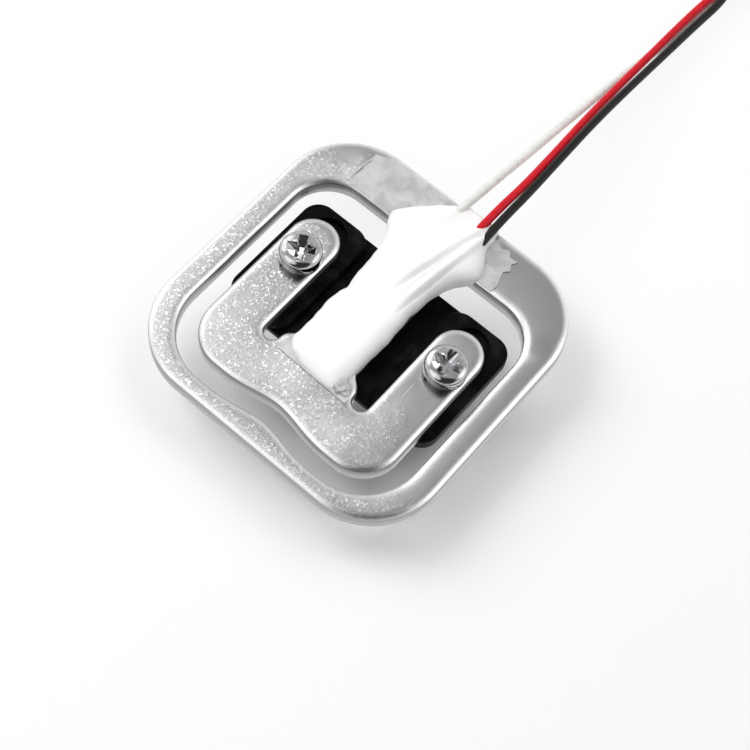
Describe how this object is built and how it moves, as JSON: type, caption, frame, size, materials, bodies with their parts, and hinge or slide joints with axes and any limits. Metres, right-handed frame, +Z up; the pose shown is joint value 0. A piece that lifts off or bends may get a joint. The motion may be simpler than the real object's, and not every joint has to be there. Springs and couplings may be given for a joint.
{
  "type": "half-bridge load cell",
  "caption": "Flat square load cell for a scale: slotted steel ring with a sprung tongue, plastic foot screwed under it, sealed strain gauge and three thin leads.",
  "frame": {"origin": "under the middle of the square plate, on the plane that the foot stands on", "axes": "+Z up, from the foot to the plate; +Y along the tongue, from its free end to the leads; +X from the left screw to the right screw, seen with the leads pointing away"},
  "size_m": [0.034, 0.0948, 0.0075],
  "materials": {
    "stamped_steel": "satin, with a fine speckle of dimples",
    "black_plastic": "moulded, matt",
    "plated_screw": "zinc plated",
    "spring_steel": "zinc plated",
    "insert_brass": "turned",
    "polyimide_film": "glossy film",
    "gauge_foil": "etched foil",
    "solder": "bright solder",
    "white_silicone": "soft satin",
    "clear_adhesive": "clear and glossy",
    "red_insulation": "satin",
    "white_insulation": "satin",
    "black_insulation": "satin",
    "tinned_copper": "tinned"
  },
  "bodies": {
    "root": {"sensor_plate": "stamped_steel", "foot": "black_plastic", "screw_left": "plated_screw", "screw_right": "plated_screw", "lock_washer_left": "spring_steel", "lock_washer_right": "spring_steel", "threaded_insert_left": "insert_brass", "threaded_insert_right": "insert_brass", "gauge_film": "polyimide_film", "gauge_foil": "gauge_foil", "solder_joint_white": "solder", "solder_joint_red": "solder", "solder_joint_black": "solder", "inner_lead_white": "white_insulation", "inner_lead_red": "red_insulation", "inner_lead_black": "black_insulation", "silicone_coat": "white_silicone", "adhesive_film": "clear_adhesive", "wire_white": "white_insulation", "wire_red": "red_insulation", "wire_black": "black_insulation", "wire_coil_white": "white_insulation", "wire_coil_red": "red_insulation", "wire_coil_black": "black_insulation", "bare_end_white": "tinned_copper", "bare_end_red": "tinned_copper", "bare_end_black": "tinned_copper"}
  },
  "joints": []
}
